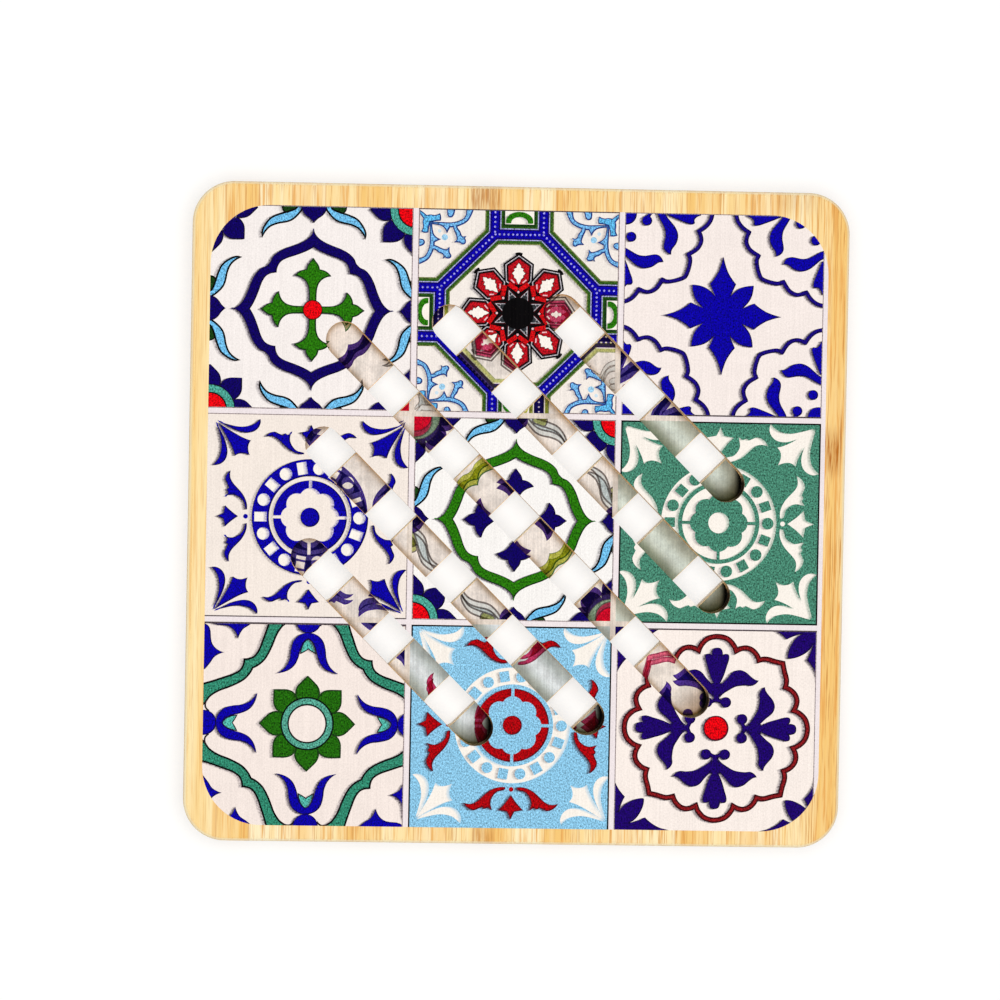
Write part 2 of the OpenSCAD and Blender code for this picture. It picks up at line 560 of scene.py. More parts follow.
inkLook = {
    "shadowShift": (-0.8, -0.16),  # soft shadow beside every dark shape
    "shadowStrengths": (0.94, 0.8, 0.56, 0.28),
    "edge": 0.2,
    "edgeShift": (-0.09, 0.06),  # the rim is wider on the right and below
}


def sampled(outlines):
    return [o if isinstance(o, np.ndarray) else curve(o) for o in outlines]


def paint(art, ink, outlines, holes=(), soft=0, inner=None, faceOnly=False):
    art.append({"ink": ink, "outlines": sampled(outlines), "holes": sampled(holes), "soft": soft,
                "inner": inner, "faceOnly": faceOnly})


def paintEdged(art, ink, outlines, holes=(), soft=1.0):  # a shape with its darker rim
    edge, shift = inkLook["edge"], np.array(inkLook["edgeShift"])
    paint(art, edgeInks[ink], outlines, holes, soft)
    body = [grown(o, -edge) + shift for o in sampled(outlines)]
    cut = [grown(o, edge) + shift for o in sampled(holes)]
    paint(art, ink, body, cut)


def paintLined(art, ink, lineInk, outlines, width=0.4, soft=1.0):
    loops = sampled(outlines)
    paint(art, lineInk, [grown(o, width / 2) for o in loops], soft=soft)
    paint(art, ink, [grown(o, -width / 2) for o in loops])


def centred(art, x, y):
    for shape in art:
        for key in ("outlines", "holes"):
            shape[key] = [loop + np.array((x, y)) for loop in shape[key]]
    return art


def shadowShifts():
    strengths = inkLook["shadowStrengths"]
    shift = np.array(inkLook["shadowShift"])
    return [(shift * (k + 1) / len(strengths), strength) for k, strength in enumerate(strengths)]


def inkColour(ink):
    return linear(inks[ink] if isinstance(ink, str) else ink)


def covered(shape, points):
    return insideAny(shape["outlines"], points) & ~insideAny(shape["holes"], points)


def shadowDensity(points, share, shaded):  # how dark the shadow is at each point that it reaches
    density = np.zeros(len(points))
    for shift, strength in shadowShifts():
        hit = shaded(points - shift)
        density[hit] = np.maximum(density[hit], strength * share)
    return density[:, None]


def inkAt(art, ground, points):  # the colour of the print at each point
    colour = np.tile(linear(ground), (len(points), 1))
    for shape in art:
        hit = covered(shape, points)
        if shape["soft"]:
            density = shadowDensity(points, shape["soft"], lambda p: covered(shape, p))
            colour = colour * (1 - density) + np.minimum(colour, linear(inks["ghost"])) * density
        colour[hit] = linear(ground) if shape["ink"] is None else inkColour(shape["ink"])
        if shape["inner"]:  # a pale shape, shaded by the dark ink on its right
            darker, share = shape["inner"]
            density = shadowDensity(points, share, lambda p: hit & ~covered(shape, p))
            colour = colour * (1 - density) + inkColour(darker) * density
    return colour


# Outlines of the slots
def slotLoops(angle, along, across, grow):
    radius = slotSizes["width"] / 2 + grow
    arc = np.radians(np.linspace(-90, 90, 13))
    c, s = math.cos(math.radians(angle)), math.sin(math.radians(angle))
    loops = []
    for i in range(-2, 3):
        right = np.c_[slotRuns[abs(i)] + radius * np.cos(arc), radius * np.sin(arc)]
        loop = np.r_[right, -right] + np.array((along, across + i * slotSizes["pitch"]))
        loops.append(loop @ np.array(((c, s), (-s, c))))
    return loops


def topSlots(grow=0.0):
    return slotLoops(-45, slotSizes["topAlong"], slotSizes["topAcross"], grow)


def underSlots(grow=0.0):
    return slotLoops(45, 0.0, slotSizes["underAcross"], grow)


# Cutting one area of film into faces of one colour each
filmLook = {
    "thick": 0.1,
    "mapSpan": 0.86,  # share of the bake map that the printed faces take
    "mapMargin": 0.008,
    "underSpan": 0.11,  # and the plain underside and rim, in the margin beside them
    "underPlace": (0.885, 0.01),
    "underStep": 0.13,
    "rimSpan": 0.004,
}


def partition(outline, lines, wanted):
    low, high = outline.min(0) - 0.01, outline.max(0) + 0.01
    points, edges = [], []
    for loop in lines:
        if (loop.max(0) < low).any() or (loop.min(0) > high).any():
            continue
        first = len(points)
        points.extend(Vector(p) for p in loop)
        edges.extend((first + k, first + (k + 1) % len(loop)) for k in range(len(loop)))
    cut = delaunay_2d_cdt(points, edges, [], 0, 1e-5)
    verts = np.array([tuple(v) for v in cut[0]])
    faces = np.array([f for f in cut[2] if len(f) == 3])
    faces = faces[wanted(verts[faces].mean(1))]
    used, faces = np.unique(faces, return_inverse=True)
    return verts[used], faces.reshape(-1, 3)


def borderEdges(faces):
    edges = np.r_[faces[:, [0, 1]], faces[:, [1, 2]], faces[:, [2, 0]]]
    known = {(int(a), int(b)) for a, b in edges}
    return sorted(e for e in known if (e[1], e[0]) not in known)


def film(verts, faces, wanted, z):  # closed film on a plane: printed top, plain rim and underside
    border = borderEdges(faces)
    rim = sorted({v for e in border for v in e})
    order = {v: k for k, v in enumerate(rim)}
    ties = [(order[a], order[b]) for a, b in border]
    cut = delaunay_2d_cdt([Vector(verts[v]) for v in rim], ties, [], 0, 1e-6)
    low = np.array([tuple(v) for v in cut[0]])
    under = np.array([f for f in cut[2] if len(f) == 3])
    under = under[wanted(low[under].mean(1))][:, ::-1]
    count = len(verts)
    top, base = np.full(count, z + filmLook["thick"]), np.full(len(low), z)
    places = np.r_[np.c_[verts, top], np.c_[low, base]]
    walls = [(a, count + order[a], count + order[b], b) for a, b in border]
    return places, [tuple(f) for f in faces], [tuple(f + count) for f in under], walls


def tileOutline(low, high, printLow, printHigh, radius):  # a tile, round where the print's corner is
    points = []
    for side in cornerSigns:
        corner, outer = np.where(side > 0, high, low), np.where(side > 0, printHigh, printLow)
        reach = 1 - np.abs(corner - outer) / radius
        if reach.min() < 0:
            points.append(corner)
            continue
        arc = np.linspace(math.acos(min(reach[0], 1)), math.asin(min(reach[1], 1)), 15)
        bend = outer + radius * side * (np.c_[np.cos(arc), np.sin(arc)] - 1)
        points.extend(bend if side[0] == side[1] else bend[::-1])
    return np.array(points)


def shadowLines(art, shifts):
    lines = []
    for shape in art:
        copies = [np.zeros(2)]
        if shape["soft"] or shape["inner"]:
            copies += [s for s, _ in shadowShifts()]
        for loop in shape["outlines"] + shape["holes"]:
            lines.extend(loop + copy + shift for copy in copies for shift in shifts)
    return lines


# On the slot floors the print is doubled along the board, the pale inks don't show, the rest is weaker
floorLook = {
    "ground": (241, 234, 228),
    "passShift": 0.66,
    "nearSlots": 2.5,  # shapes farther than this from a slot don't reach its floor
    "paleInks": {"cream", "wheelCream", "paleBlue", "faintBlue", "wheelBlue", "seaGreen", "lavender",
                 "blush", "bandDot", "grey"},
    "weakInks": {
        "navy": (14, 3, 58), "ultramarine": (12, 6, 72), "violetBlue": (18, 4, 92), "cobalt": (16, 8, 74),
        "leafGreen": (128, 136, 20), "darkGreen": (112, 116, 44), "bandGreen": (136, 144, 54),
        "skyBlue": (188, 200, 202), "scrollBlue": (198, 200, 196), "tuftBlue": (190, 196, 196),
        "scrollLine": (112, 104, 98), "teal": (122, 146, 122), "ringTeal": (140, 160, 150),
        "red": (200, 10, 40), "crimson": (158, 6, 38), "starRed": (160, 12, 44), "petalRed": (152, 12, 42),
        "ringRed": (190, 36, 66), "ringDark": (120, 14, 38), "black": (56, 50, 48)},
    "tints": {"wall": (216, 202, 182), "end": (200, 178, 158)},  # painted shade, darker towards the walls and the end
    "wallReach": (1.5, 0.0),  # from the wall, where each tint starts and where it is full
    "edgeReach": (4.2, 1.2),
    "sideReach": (3.2, 0.0),
    "lowerSide": (0.6, -0.6),  # across the slot, the half that the side tint is on
    "endRise": (-3.5, 3.5),  # past the middle of the round end, and the same for the next two
    "endStart": (-4.0, -1.5),
    "oliveRise": (1.0, 3.0),
    "oliveReach": (1.0, 0.1),
    "endStain": (18, 12, 8),  # painted shadow, a dark crescent in the lower right end of every slot
    "oliveStain": (176, 162, 86),  # and a yellow one along its lower wall
    "endAzimuth": 0.0,
    "endCircle": 16.0,  # radius of the crescent's inner edge
    "endReach": (2.0, 0.6),
    "depthLines": (0.3, 0.6, 1.0, 1.5, 2.0, 2.6, 3.2, 3.7),  # where the floor is cut for its tints
    "endLines": (0.7, 1.1, 1.5, 1.9, 2.3, 3.2, 4.5, 6.5, 9.0, 13.0),
}


def floorArt(art, floorInks):
    weaker = {**floorLook["weakInks"], **floorInks}
    flat = []
    for shape in art:
        if shape["faceOnly"]:
            continue
        ink = shape["ink"]
        weak = None if ink in floorLook["paleInks"] else weaker.get(ink, ink)
        flat.append({**shape, "ink": weak, "soft": 0, "inner": None})
    return flat


def floorInk(flat, ground, points):
    step = np.array((0, floorLook["passShift"]))
    return np.sqrt(inkAt(flat, ground, points + step) * inkAt(flat, ground, points - step))


def slotPlace(points):  # place from the lower right end of the nearest slot, and depth from its wall
    along = (points[:, 0] - points[:, 1]) / math.sqrt(2) - slotSizes["topAlong"]
    across = (points[:, 0] + points[:, 1]) / math.sqrt(2) - slotSizes["topAcross"]
    index = np.clip(np.round(across / slotSizes["pitch"]), -2, 2).astype(int)
    across = across - index * slotSizes["pitch"]
    run = slotRuns[np.abs(index)]
    depth = slotSizes["width"] / 2 - np.hypot(np.maximum(np.abs(along) - run, 0), across)
    return along - run, across, depth


def rising(value, none, full):  # smooth step from none to full
    t = np.clip((value - none) / (full - none), 0, 1)
    return t * t * (3 - 2 * t)


def endCircles(width):  # where the distance to the slot end's wall has this value
    back = floorLook["endCircle"] - slotSizes["width"] / 2
    turn = math.radians(floorLook["endAzimuth"])
    circles = []
    for x, y in slotEnds():
        middle = (x - back * math.cos(turn), y - back * math.sin(turn))
        circles.append(disc(floorLook["endCircle"] - width, *middle, 56))
    return circles


def floorShadeAndStain(points, tints):  # painted shade near the walls and the end, a painted shadow crescent at the end, and a yellow tint near the lower wall
    look = floorLook
    past, across, depth = slotPlace(points)
    back = look["endCircle"] - slotSizes["width"] / 2
    turn = math.radians(look["endAzimuth"] + 45)
    fromEnd = look["endCircle"] - np.hypot(past + back * math.cos(turn), across + back * math.sin(turn))
    stain = np.ones((len(points), 3))

    def add(tone, amount):
        stain[:] *= 1 - amount[:, None] * (1 - linear(tone))

    amounts = {
        "wall": rising(depth, *look["wallReach"]),
        "edge": rising(depth, *look["edgeReach"]),
        "side": rising(depth, *look["sideReach"]) * rising(across, *look["lowerSide"]),
        "end": rising(past, *look["endRise"]),
    }
    for key, amount in amounts.items():
        if key in tints:
            add(tints[key], amount)
    downward = (past - across) / math.sqrt(2)
    add(look["oliveStain"], rising(depth, *look["oliveReach"]) * rising(downward, *look["oliveRise"]))
    add(look["endStain"], rising(past, *look["endStart"]) * rising(fromEnd, *look["endReach"]))
    return stain


def printLayers(outline, holes, art, look):  # the print on the top face, and on the slot floors
    slots, clear = topSlots(), slotSizes["clear"]
    shallow, crossed = topSlots(-clear), underSlots(clear)

    def inOutline(points):
        return inside(outline, points) & ~insideAny(holes, points)

    def onFace(points):
        return inOutline(points) & ~insideAny(slots, points)

    def onFloor(points):
        return inOutline(points) & insideAny(shallow, points) & ~insideAny(crossed, points)

    doubled = [np.array((0, s * floorLook["passShift"])) for s in (-1, 1)]
    nearSlots = topSlots(floorLook["nearSlots"])
    flatArt = floorArt(art, look.get("floorInks", {}))
    floorLines = [s for s in shadowLines(flatArt, doubled) if insideAny(nearSlots, s).any()]
    floorLines += [loop for depth in floorLook["depthLines"] for loop in topSlots(-depth)]
    floorLines += [loop for width in floorLook["endLines"] for loop in endCircles(width)]
    face = {"wanted": onFace, "lines": [outline, *holes, *slots, *shadowLines(art, [np.zeros(2)])],
            "inkOf": inkAt, "art": art, "ground": look["ground"]}
    floor = {"wanted": onFloor, "lines": [outline, *holes, *shallow, *crossed, *floorLines],
             "inkOf": floorInk, "art": flatArt, "ground": look.get("floorGround", floorLook["ground"])}
    return face, floor


def mapCorners(corners, kind, layer):  # printed faces fill the bake map, underside and rim its margin
    if kind == 0:
        return corners * filmLook["mapSpan"] + filmLook["mapMargin"]
    across, up = filmLook["underPlace"]
    start = np.array((across, up + filmLook["underStep"] * (2 * layer + kind)))
    corners = corners * filmLook["underSpan"] + start
    if kind == 2:
        corners[1:3, 1] += filmLook["rimSpan"]
    return corners


def makePrint(node, outline, holes, art, look):
    low, high = boxOf(node)
    heights = (high[2] - filmLook["thick"], low[2])
    size = float((high - low)[:2].max())
    plain = linear(look["ground"])
    verts, faces, colours, shadesAndStains, layerOf, mapped = [], [], [], [], [], []
    for k, layer in enumerate(printLayers(outline, holes, art, look)):
        flat, cut = partition(outline, layer["lines"], layer["wanted"])
        if not len(cut):
            continue
        shade = layer["inkOf"](layer["art"], layer["ground"], flat[cut].mean(1))
        places, printed, under, walls = film(flat, cut, layer["wanted"], heights[k])
        first = sum(len(v) for v in verts)
        verts.append(places)
        shadesAndStains.append(np.ones((len(places), 3)))
        # the slot floors carry painted shade and a painted shadow, kept per corner
        if k:
            shadesAndStains[-1][:len(flat)] = floorShadeAndStain(flat, look.get("floorTints", floorLook["tints"]))
        plan = (places[:, :2] - low[:2]) / size
        for kind, group in enumerate((printed, under, walls)):
            for n, face in enumerate(group):
                faces.append(tuple(int(v) + first for v in face))
                colours.append(plain if kind else shade[n])
                layerOf.append(k)
                mapped.append(mapCorners(plan[list(face)], kind, k))
    mesh = bpy.data.meshes.new(node + "_ink")
    mesh.from_pydata((np.concatenate(verts) * mm).tolist(), [], faces)
    for name, domain, values in (("ink", "FACE", colours), ("stain", "POINT", np.concatenate(shadesAndStains))):
        layer = mesh.attributes.new(name, "FLOAT_COLOR", domain)
        layer.data.foreach_set("color", np.c_[values, np.ones(len(values))].astype(np.float32).ravel())
    mesh.polygons.foreach_set("material_index", np.array(layerOf, np.int32))
    chart = mesh.uv_layers.new(name="OFBake")
    chart.data.foreach_set("uv", np.concatenate(mapped).astype(np.float32).ravel())
    for material in (faceInk, slotInk):
        mesh.materials.append(material)
    piece = bpy.data.objects.new(mesh.name, mesh)
    bpy.context.scene.collection.objects.link(piece)
    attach(piece, "root")
    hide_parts(node)
    print(node, "printed with", len(faces), "faces")


# Ink finish: colour from the print, broken by the grain below and by the print's own raster
inkFinish = {
    "face": {"streak": 0.035, "mottle": (0.11, 1.2), "wear": 0.03, "cloud": (0.988, 1.012),
             "rough": (0.6, 0.75), "relief": (0.2, 0.00006)},
    "slot": {"streak": 0.1, "mottle": (0.12, 0.7), "wear": 0.09, "cloud": (0.78, 1.0),
             "rough": (0.7, 0.85), "relief": (0.35, 0.00006)},
    "wood": (238, 214, 178),  # shows where the ink is worn
    "streaks": (2600, 50, 500),  # how fine each kind of mark is
    "raster": (3200, 2300, 500),
    "worn": (2600, 1900, 500),
    "clouds": (210, 210, 210),
    "shine": 0.03,
}


def makeInk(name, look):
    material, tree, shader = newMaterial(name)
    place = addNode(tree, "ShaderNodeTexCoord").outputs["Object"]
    ink = addNode(tree, "ShaderNodeAttribute", attribute_name="ink").outputs["Color"]
    stain = addNode(tree, "ShaderNodeAttribute", attribute_name="stain").outputs["Color"]
    streak = noise(tree, place, inkFinish["streaks"], 3.0, 0.6)
    raster = noise(tree, place, inkFinish["raster"], 2.0, 0.7)
    wear = noise(tree, place, inkFinish["worn"], 3.0, 0.7, (7, 3, 5))
    light = ranged(tree, streak, 0.3, 0.7, 1.0 - look["streak"], 1.0 + look["streak"])
    cloud = noise(tree, place, inkFinish["clouds"], 3.0, 0.6)
    light = maths(tree, "MULTIPLY", light, ranged(tree, cloud, 0.35, 0.6, *look["cloud"]))
    grey = addNode(tree, "ShaderNodeRGBToBW", {0: ink}).outputs[0]
    depth = ranged(tree, grey, 0.75, 0.3, *look["mottle"])  # strong inks are more uneven than pale ones
    mottle = maths(tree, "MULTIPLY_ADD", maths(tree, "SUBTRACT", raster, 0.5),
                   maths(tree, "MULTIPLY", depth, 4.0), 1.0)
    # painted shade and stain from the slot floors darken the ink
    shadedAndStained = mixed(tree, 1.0, ink, stain, "MULTIPLY")
    uneven = maths(tree, "MULTIPLY", light, mottle)
    level = addNode(tree, "ShaderNodeVectorMath", {0: shadedAndStained, "Scale": uneven}, operation="SCALE")
    bare = ranged(tree, wear, 0.62, 0.76, 0.0, look["wear"])
    worn = mixed(tree, bare, level.outputs[0], rgba(inkFinish["wood"]))
    tree.links.new(worn, shader.inputs["Base Color"])
    tree.links.new(ranged(tree, streak, 0.3, 0.7, *look["rough"]), shader.inputs["Roughness"])
    relief = maths(tree, "MULTIPLY_ADD", raster, 0.5, maths(tree, "MULTIPLY", streak, 0.5))
    setRelief(tree, shader, relief, *look["relief"])
    shader.inputs["Specular IOR Level"].default_value = inkFinish["shine"]
    return material


faceInk = makeInk("inkOnFace", inkFinish["face"])
slotInk = makeInk("inkInSlots", inkFinish["slot"])


# Repeats along a ring or a path, made with Geometry Nodes and read back as outlines
def newTree(name, sockets):
    tree = bpy.data.node_groups.new(name, "GeometryNodeTree")
    for label, kind in sockets:
        tree.interface.new_socket(label, in_out="INPUT", socket_type=kind)
    tree.interface.new_socket("Geometry", in_out="OUTPUT", socket_type="NodeSocketGeometry")
    entry = addNode(tree, "NodeGroupInput").outputs
    return tree, {label: entry[label] for label, _ in sockets}


def endTree(tree, geometry, material):
    real = addNode(tree, "GeometryNodeRealizeInstances", {0: geometry})
    named = addNode(tree, "GeometryNodeSetMaterial", {"Geometry": real.outputs[0], "Material": material})
    addNode(tree, "NodeGroupOutput", {0: named.outputs[0]})


def loopsFrom(tree, mesh, values):
    carrier = bpy.data.objects.new(tree.name, mesh)
    bpy.context.scene.collection.objects.link(carrier)
    modifier = carrier.modifiers.new(tree.name, "NODES")
    modifier.node_group = tree
    for item in tree.interface.items_tree:
        if item.in_out == "INPUT" and item.name in values:
            modifier[item.identifier] = values[item.name]
    ready = carrier.evaluated_get(bpy.context.evaluated_depsgraph_get())
    made = bpy.data.meshes.new_from_object(ready)
    carrier.modifiers.clear()
    places = np.array([v.co[:2] for v in made.vertices]) / mm
    following = {}
    for a, b in (e.vertices for e in made.edges):
        following.setdefault(a, []).append(b)
        following.setdefault(b, []).append(a)
    loops, seen = [], set()
    for first in range(len(places)):
        if first in seen:
            continue
        chain = [first]
        seen.add(first)
        while True:
            onward = [v for v in following[chain[-1]] if v not in seen]
            if not onward:
                break
            chain.append(onward[0])
            seen.add(onward[0])
        loops.append(places[chain])
    bpy.data.objects.remove(carrier)
    for spent in (made, mesh):
        bpy.data.meshes.remove(spent)
    return loops


def makeBeadTree():
    tree, entry = newTree("beadRing", [
        ("Geometry", "NodeSocketGeometry"), ("Bead count", "NodeSocketInt"),
        ("Ring radius", "NodeSocketFloat"), ("Disc radius", "NodeSocketFloat"),
        ("Square length", "NodeSocketFloat"), ("Square width", "NodeSocketFloat")])
    ring = addNode(tree, "GeometryNodeCurvePrimitiveCircle", {
        "Resolution": entry["Bead count"], "Radius": entry["Ring radius"]})
    points = addNode(tree, "GeometryNodeCurveToPoints", {0: ring.outputs[0]}, mode="EVALUATED")
    index = addNode(tree, "GeometryNodeInputIndex").outputs[0]
    odd = addNode(tree, "FunctionNodeCompare", {
        2: addNode(tree, "ShaderNodeMath", {0: index, 1: 2.0}, operation="MODULO").outputs[0], 3: 0},
        data_type="INT", operation="NOT_EQUAL").outputs[0]
    even = addNode(tree, "FunctionNodeBooleanMath", {0: odd}, operation="NOT").outputs[0]
    discBead = addNode(tree, "GeometryNodeMeshCircle", {"Vertices": 20, "Radius": entry["Disc radius"]})
    barBead = addNode(tree, "GeometryNodeCurvePrimitiveQuadrilateral", {
        "Width": entry["Square length"], "Height": entry["Square width"]})
    outline = addNode(tree, "GeometryNodeCurveToMesh", {0: barBead.outputs[0]})
    spot = addNode(tree, "GeometryNodeInputPosition").outputs[0]
    radial = addNode(tree, "FunctionNodeAlignRotationToVector", {"Vector": spot}, axis="X").outputs[0]
    both = addNode(tree, "GeometryNodeJoinGeometry")
    for shape, chosen in ((discBead, even), (outline, odd)):
        copies = addNode(tree, "GeometryNodeInstanceOnPoints", {
            "Points": points.outputs[0], "Instance": shape.outputs[0],
            "Selection": chosen, "Rotation": radial})
        tree.links.new(copies.outputs[0], both.inputs[0])
    endTree(tree, both.outputs[0], faceInk)
    return tree


def makeDotTree():
    tree, entry = newTree("dottedPath", [
        ("Geometry", "NodeSocketGeometry"), ("Spacing", "NodeSocketFloat"),
        ("Dot radius", "NodeSocketFloat")])
    path = addNode(tree, "GeometryNodeMeshToCurve", {0: entry["Geometry"]})
    even = addNode(tree, "GeometryNodeResampleCurve", {
        "Curve": path.outputs[0], "Length": entry["Spacing"]}, mode="LENGTH")
    dot = addNode(tree, "GeometryNodeMeshCircle", {"Vertices": 7, "Radius": entry["Dot radius"]})
    copies = addNode(tree, "GeometryNodeInstanceOnPoints", {
        "Points": even.outputs[0], "Instance": dot.outputs[0]})
    endTree(tree, copies.outputs[0], faceInk)
    return tree


beadTree, dotTree = makeBeadTree(), makeDotTree()


def pathMesh(paths):  # polylines in millimetres as a mesh of edges
    mesh = bpy.data.meshes.new("dotPath")
    verts, edges = [], []
    for line in paths:
        first = len(verts)
        verts.extend((x * mm, y * mm, 0) for x, y in line)
        edges.extend((first + k, first + k + 1) for k in range(len(line) - 1))
    mesh.from_pydata(verts, edges, [])
    return mesh


def square(half, other=None):
    tall = half if other is None else other
    return np.array(((half, tall), (-half, tall), (-half, -tall), (half, -tall)), float)


tileLow, tileHigh = planOf("tile_print_middle_centre")
tileHalf = (tileHigh - tileLow) / 2  # all nine have this size
tileSides = ("left", "below", "right", "above")


def paintEdge(art, look, ink, widths):  # a line inside each side of the tile that has a width
    left, below, right, above = (widths.get(side, -1.0) for side in tileSides)
    shift = np.array(look["shift"])
    low, high = np.array((left, below)) - tileHalf - shift, tileHalf - np.array((right, above)) - shift
    inner = np.array((high, (low[0], high[1]), low, (high[0], low[1])))
    paint(art, ink, [square(*(tileHalf + 2)) - shift], [inner], faceOnly=True)


def paintBorder(art, look, ink, width):  # thin line except on the open sides, heavier where named
    paintEdge(art, look, ink, {side: width for side in tileSides if side not in look.get("open", ())})
    if "heavy" in look:
        paintEdge(art, look, "heavyGrey", look["heavy"])


# Cross tile and star tile: a pointed frame, corner rosettes and blue wave leaves
crossTile = {
    "node": "tile_print_top_left", "slot": "navy_ink", "shift": (0.37, -0.5), "open": ("left",),
    "ground": (246, 238, 234), "border": ("borderGrey", 0.22),
    "frame": "navy", "middle": "cross", "rosette": 23.0, "cutCorner": 1,
    "floorInks": {"leafGreen": (112, 104, 56)},
}
starTile = {
    "node": "tile_print_middle_centre", "slot": "leaf_green_ink", "shift": (0.3, -0.1),
    "ground": (248, 244, 240), "border": ("borderGrey", 0.22),
    "frame": "leafGreen", "middle": "stars", "rosette": 23.0,
}


def drawCrossTile(look):
    art = []
    frameOuter = [(0, 18.6, 1), (0.4, 17.2), (1.6, 15.95), (3.75, 14.85), (6.3, 13.9), (8.05, 12.95),
                  (9.25, 11.8), (9.75, 10.7), (10.2, 10.2, 1)]
    frameInner = [(0, 14.2, 1), (1.65, 13.25), (4, 12.3), (6, 11.6), (7.35, 10.8), (8.05, 9.7),
                  (8.3, 8.3, 1)]
    petal = whole([(0, 10.3, 1), (1.1, 9.25), (2.05, 8.2), (2.45, 7.2), (2.5, 6.3), (2.3, 5.4, 1)])
    leaf = [(4.2, 24, 1), (4.0, 23.1), (5.6, 22.3), (7.7, 21.65), (9.7, 20.75), (11.0, 19.25),
            (11.7, 17.75), (11.65, 16.7, 1), (10.9, 17.9), (9.9, 18.85), (8.2, 19.55), (6.2, 19.95),
            (4.9, 20.5), (3.7, 21.6), (2.75, 22.9), (2.4, 24, 1)]
    bud = [(3.6, 24, 1), (7.2, 24, 1), (7.1, 22.6), (6.2, 22.0), (4.4, 22.6)]
    lozenge = whole([(0, 19.7, 1), (0.8, 20.6), (1.9, 21.4), (2.6, 22.3), (2.9, 23.5, 1), (2.9, 24, 1)])
    paintLined(art, "darkGreen", "black", eightWays(bud), 0.3, 0.5)
    paintLined(art, "skyBlue", "black", eightWays(leaf), 0.42, 0.6)
    paintEdged(art, "navy", fourWays(lozenge))
    for k, mirror in enumerate(cornerSigns):
        x, y = look["rosette"] * mirror
        paintEdged(art, "navy", [moved(turned(petal, 45 * n), x, y) for n in range(8)])
        rings = (("black", 5.8), ("teal", 5.62), ("black", 4.0), ("red", 3.7))
        for ink, radius in ((("navy", 5.6),) if k == look.get("cutCorner") else rings):
            paint(art, ink, [disc(radius, x, y)])
    paintEdged(art, look["frame"], [fromOctant(frameOuter)], [fromOctant(frameInner)])
    head = [(0, 11.85, 1), (0.6, 11), (1.2, 10.2), (1.5, 9.2, 1), (2.7, 8.9), (3.6, 8.3), (4.15, 7.65, 1)]
    if look["middle"] == "cross":
        arm = whole(head + [(3.0, 7.4), (2.0, 6.8), (1.3, 5.9), (0.95, 4.7), (0.85, 3.3), (0.85, 1.5, 1)])
        paint(art, edgeInks["leafGreen"], fourWays(arm), soft=1.0)
        shift = np.array((-0.06, 0.04))
        paint(art, "leafGreen", [grown(curve(a), -0.26) + shift for a in fourWays(arm)])
        paint(art, "black", [disc(2.25)], soft=0.6)
        paint(art, "red", [disc(2.05)])
    else:
        star = whole(head + [(2.8, 7.2), (1.8, 6.6), (1.1, 5.8), (0.5, 5.0), (0, 4.5, 1)])
        paintEdged(art, "navy", fourWays(star))
    return art


# Band tile: a dotted octagon band round a red star, with blue scrolls in the corners
bandTile = {
    "node": "tile_print_top_centre", "slot": "ultramarine_ink", "shift": (0.05, -0.4),
    "heavy": {"above": 0.26}, "ground": (243, 234, 226), "border": ("borderGrey", 0.25),
    "near": 5.55, "far": 17.9, "edge": 24.0, "dotSpacing": 1.0, "dotRadius": 0.25, "starTip": 5.6,
}


def drawBandTile(look):
    art = []
    near, far, edge = look["near"], look["far"], look["edge"]
    ring = np.array([(near, far), (-near, far), (-far, near), (-far, -near),
                     (-near, -far), (near, -far), (far, -near), (far, near)])
    for ink, half in (("olive", 2.3), ("bandGreen", 2.05), ("lavender", 1.38), ("navy", 1.16),
                      ("ultramarine", 0.86)):
        stubs = [np.array(((s * near - half, far), (s * near + half, far),
                           (s * near + half, edge), (s * near - half, edge))) for s in (-1, 1)]
        soft = 0.5 if ink == "olive" else 0
        paint(art, ink, [grown(ring, half)], [grown(ring, -half)], soft)
        paint(art, ink, fourWays(*stubs))
    window = square(3.85, 1.95) + np.array((0, 21.55))
    pane = square(3.3, 1.9) + np.array((0, 22.15))
    arch = [(-3.1, 20.45, 1), (-2.8, 21.9), (-1.3, 22.9), (0, 23.1), (1.3, 22.9), (2.8, 21.9),
            (3.1, 20.45, 1), (1.9, 20.45, 1), (1.5, 21.4), (0, 21.9), (-1.5, 21.4), (-1.9, 20.45, 1)]
    paint(art, "darkGreen", fourWays(window))
    paint(art, "cream", fourWays(pane))
    paint(art, "leafGreen", fourWays(arch), soft=0.5)
    paths = [[*ring, ring[0]]]
    for k in range(4):
        for s in (-1, 1):
            paths.append([p[:2] for p in turned([(s * near, far + 0.6), (s * near, edge)], 90 * k)])
    dots = loopsFrom(dotTree, pathMesh(paths), {
        "Spacing": look["dotSpacing"] * mm, "Dot radius": look["dotRadius"] * mm})
    paint(art, "bandDot", dots)
    drawRedStar(art, look)
    drawScrolls(art)
    return art


